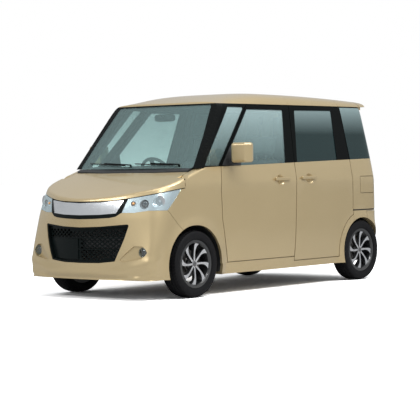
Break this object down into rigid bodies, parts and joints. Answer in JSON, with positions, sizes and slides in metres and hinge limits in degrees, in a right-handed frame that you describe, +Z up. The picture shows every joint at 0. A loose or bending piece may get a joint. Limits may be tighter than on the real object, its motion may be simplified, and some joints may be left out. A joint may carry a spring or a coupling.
{
  "type": "kei car",
  "caption": "Tall five-door kei wagon with hinged front doors, bonnet, tailgate and fuel lid, sliding rear doors modelled shut, steered front wheels and a full cabin.",
  "frame": {"origin": "on the floor under the middle of the bounding box", "axes": "+X to the car's left, +Y towards the tail, +Z up"},
  "size_m": [1.8564, 3.3951, 1.735],
  "materials": {
    "body_paint": "champagne beige metallic gloss",
    "iron": "grey iron",
    "black_plastic": "black moulded plastic",
    "interior": "dark grey interior moulding",
    "steel": "bare steel",
    "floor": "body-colour underbody steel, dulled",
    "lamp_glass": "clear lamp lens",
    "glass": "clear tinted glass",
    "seat_fabric": "dark grey woven cloth",
    "structure": "black coated steel",
    "chrome": "bright chrome plate",
    "gloss_black": "gloss black",
    "privacy_glass": "dark privacy glass",
    "alloy": "silver painted alloy with machined faces",
    "tail_lens": "red lens",
    "tyre": "black rubber"
  },
  "bodies": {
    "body": {"cowl": "black_plastic", "dashboard": "interior", "drive_shafts": "steel", "engine_block": "iron", "exhaust": "steel", "floor_pan": "floor", "fog_lamps": "lamp_glass", "front_bumper": "body_paint", "front_seat_left": "seat_fabric", "front_seat_right": "seat_fabric", "front_structure": "structure", "front_wings": "body_paint", "fuel_tank": "black_plastic", "grille_bar": "chrome", "headlamp_lenses": "lamp_glass", "headlamps": "gloss_black", "lower_grille": "gloss_black", "privacy_glass": "privacy_glass", "quarter_lights": "glass", "quarter_panels": "body_paint", "rear_axle": "structure", "rear_bumper": "body_paint", "rear_seat": "seat_fabric", "roof_panel": "body_paint", "side_frame_left": "body_paint", "side_frame_right": "body_paint", "sliding_doors": "body_paint", "tail_frame": "body_paint", "tail_lamps": "tail_lens", "upper_grille": "gloss_black", "wheel_liners": "black_plastic", "windscreen": "glass", "windscreen_frame": "gloss_black"},
    "bonnet": {"bonnet": "body_paint"},
    "tailgate": {"tailgate": "body_paint", "tailgate_glass": "privacy_glass"},
    "door_left": {"front_door_left": "body_paint", "front_door_glass_left": "glass", "mirror_housing_left": "body_paint", "mirror_fittings_left": "black_plastic"},
    "steer_left": {"knuckle_left": "iron"},
    "wheel_front_left": {"tyre_front_left": "tyre", "rim_front_left": "alloy", "brake_front_left": "iron"},
    "wheel_rear_left": {"tyre_rear_left": "tyre", "rim_rear_left": "alloy", "brake_rear_left": "iron"},
    "door_right": {"front_door_right": "body_paint", "front_door_glass_right": "glass", "mirror_housing_right": "body_paint", "mirror_fittings_right": "black_plastic"},
    "steer_right": {"knuckle_right": "iron"},
    "wheel_front_right": {"tyre_front_right": "tyre", "rim_front_right": "alloy", "brake_front_right": "iron"},
    "wheel_rear_right": {"tyre_rear_right": "tyre", "rim_rear_right": "alloy", "brake_rear_right": "iron"},
    "fuel_lid": {"fuel_lid": "body_paint"},
    "steering_wheel": {"steering_wheel": "interior"}
  },
  "joints": [
    {"name": "bonnet_hinge", "type": "hinge", "parent": "body", "child": "bonnet", "pos_m": [0, -1.046, 1.064], "axis": [-1, 0, 0], "range_deg": [0, 55]},
    {"name": "tailgate_hinge", "type": "hinge", "parent": "body", "child": "tailgate", "pos_m": [0, 1.566, 1.696], "axis": [1, 0, 0], "range_deg": [0, 85]},
    {"name": "front_left_door_hinge", "type": "hinge", "parent": "body", "child": "door_left", "pos_m": [0.7375, -0.726, 0.9], "axis": [0, 0, -1], "range_deg": [0, 65]},
    {"name": "front_right_door_hinge", "type": "hinge", "parent": "body", "child": "door_right", "pos_m": [-0.7375, -0.726, 0.9], "axis": [0, 0, 1], "range_deg": [0, 65]},
    {"name": "fuel_lid_hinge", "type": "hinge", "parent": "body", "child": "fuel_lid", "pos_m": [0.7285, 1.342, 0.892], "axis": [0, 0, -1], "range_deg": [0, 100]},
    {"name": "steering_wheel_turn", "type": "hinge", "parent": "body", "child": "steering_wheel", "pos_m": [-0.35, -0.31, 1], "axis": [0, 0.9063, 0.4226], "range_deg": [-595, 595]},
    {"name": "steering_left", "type": "hinge", "parent": "body", "child": "steer_left", "pos_m": [0.578, -1.062, 0.17], "axis": [-0.1537, 0, 0.9881], "range_deg": [-35, 35]},
    {"name": "steering_right", "type": "hinge", "parent": "body", "child": "steer_right", "pos_m": [-0.578, -1.062, 0.17], "axis": [0.1537, 0, 0.9881], "range_deg": [-35, 35]},
    {"name": "front_left_wheel_spin", "type": "hinge", "parent": "steer_left", "child": "wheel_front_left", "pos_m": [0.6475, -1.062, 0.281], "axis": [1, 0, 0], "continuous": true},
    {"name": "rear_left_wheel_spin", "type": "hinge", "parent": "body", "child": "wheel_rear_left", "pos_m": [0.645, 1.353, 0.281], "axis": [1, 0, 0], "continuous": true},
    {"name": "front_right_wheel_spin", "type": "hinge", "parent": "steer_right", "child": "wheel_front_right", "pos_m": [-0.6475, -1.062, 0.281], "axis": [1, 0, 0], "continuous": true},
    {"name": "rear_right_wheel_spin", "type": "hinge", "parent": "body", "child": "wheel_rear_right", "pos_m": [-0.645, 1.353, 0.281], "axis": [1, 0, 0], "continuous": true}
  ],
  "couplings": [
    {"joint": "steering_right", "follows": "steering_left", "ratio": 1},
    {"joint": "steering_wheel_turn", "follows": "steering_left", "ratio": -17}
  ]
}
